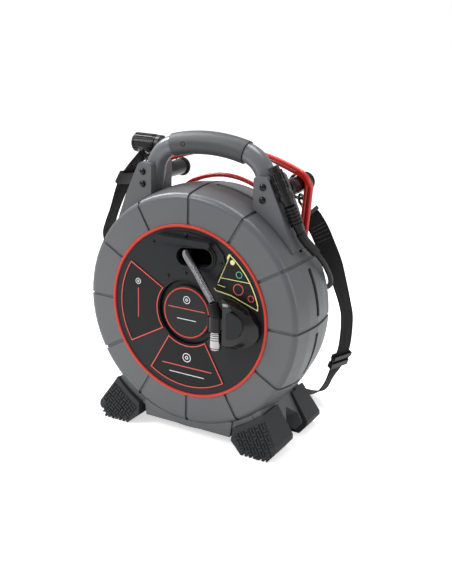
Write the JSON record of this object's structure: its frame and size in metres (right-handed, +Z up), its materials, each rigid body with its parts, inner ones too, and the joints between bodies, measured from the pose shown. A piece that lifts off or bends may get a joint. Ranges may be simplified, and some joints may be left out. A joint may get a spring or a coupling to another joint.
{
  "type": "push-cable inspection camera",
  "caption": "Drain inspection camera: a push cable on a drum inside a round grey case, with a carrying handle, rubber boots, a coiled red cord and a shoulder strap",
  "frame": {"origin": "On the ground under the middle of the reel's box, cord and strap not counted.", "axes": "+Z up; the drum turns about the Y axis, with the plate and the camera at -Y and the coiled cord at +Y; +X is to the right seen from the front."},
  "size_m": [0.355, 0.2495, 0.3921],
  "materials": {
    "case_grey": "moulded grey plastic, fine texture",
    "plate_charcoal": "moulded charcoal plastic",
    "ring_red": "red moulded trim",
    "label_black": "smooth printed film",
    "label_red": "printed line",
    "label_yellow": "printed line",
    "black_plastic": "black moulded plastic",
    "drum_plastic": "moulded plastic",
    "screw_black": "blackened steel",
    "steel": "turned steel",
    "stainless": "bright stainless steel",
    "copper": "gilded tracks",
    "bronze": "sintered bronze",
    "carbon": "brush holder",
    "push_cable": "black sheathed cable",
    "lens": "clear window",
    "led": "light ring diffuser",
    "handle_grey": "satin grey coating",
    "grip_grey": "soft textured grip",
    "boot_rubber": "dark grey rubber",
    "black_rubber": "black rubber",
    "cord_red": "glossy red sheath",
    "webbing": "black woven webbing"
  },
  "bodies": {
    "case": {"front_shell": "case_grey", "rear_shell": "case_grey", "case_screws": "screw_black", "trim_ring": "ring_red", "front_plate": "plate_charcoal", "cable_guide": "plate_charcoal", "guide_screws": "screw_black", "label_panels": "label_black", "label_borders": "label_red", "label_border_yellow": "label_yellow", "drum_axle": "steel", "axle_nut": "steel", "brush_block": "carbon", "push_cable_lead": "push_cable", "camera_spring": "stainless", "spring_boot": "black_rubber", "camera_sleeve": "black_plastic", "camera_head": "stainless", "camera_window": "lens", "camera_light_ring": "led", "camera_dock": "black_plastic", "dock_clip": "black_plastic", "handle": "handle_grey", "handle_grip": "grip_grey", "ears": "case_grey", "handle_screws": "screw_black", "cradle": "case_grey", "front_boots": "boot_rubber", "rear_boots": "boot_rubber", "cord_posts": "black_plastic", "rear_hub_cover": "black_plastic", "rear_glands": "black_rubber", "red_cord_lead": "cord_red", "red_cord_coil": "cord_red", "red_cord_tail": "cord_red", "plug_body": "black_plastic", "plug_boot": "black_rubber", "pigtail": "black_rubber", "pigtail_body": "black_plastic", "pigtail_boot": "black_rubber", "pigtail_socket": "black_plastic", "pigtail_clip": "black_plastic", "strap": "webbing", "strap_lugs": "black_plastic", "strap_hook": "steel", "strap_slide": "black_plastic", "strap_buckle": "black_plastic"},
    "drum": {"hub_cap": "plate_charcoal", "hub_ring": "ring_red", "drum_dish": "drum_plastic", "drum_cover": "drum_plastic", "drum_screws": "steel", "drum_hub": "plate_charcoal", "hub_bushes": "bronze", "slip_ring_rotor": "drum_plastic", "slip_ring_tracks": "copper", "push_cable_coil": "push_cable"},
    "pad": {"dock_pad": "plate_charcoal"},
    "plug_lock_ring": {"plug_collar": "black_plastic"},
    "connector_lock_ring": {"pigtail_ring": "black_plastic"}
  },
  "joints": [
    {"name": "drum_spin", "type": "hinge", "parent": "case", "child": "drum", "pos_m": [0, -0.0045, 0.171], "axis": [0, -1, 0], "continuous": true},
    {"name": "pad_press", "type": "slide", "parent": "case", "child": "pad", "axis": [0, 1, 0], "range_m": [0, 0.0025], "stiffness_N_per_m": 800},
    {"name": "plug_ring_twist", "type": "hinge", "parent": "case", "child": "plug_lock_ring", "pos_m": [-0.13, 0.0455, 0.3595], "axis": [1, 0, 0], "range_deg": [-30, 30]},
    {"name": "connector_ring_twist", "type": "hinge", "parent": "case", "child": "connector_lock_ring", "pos_m": [0.0985, -0.0215, 0.3557], "axis": [0.4124, 0.1226, -0.9027], "range_deg": [-30, 30]}
  ]
}
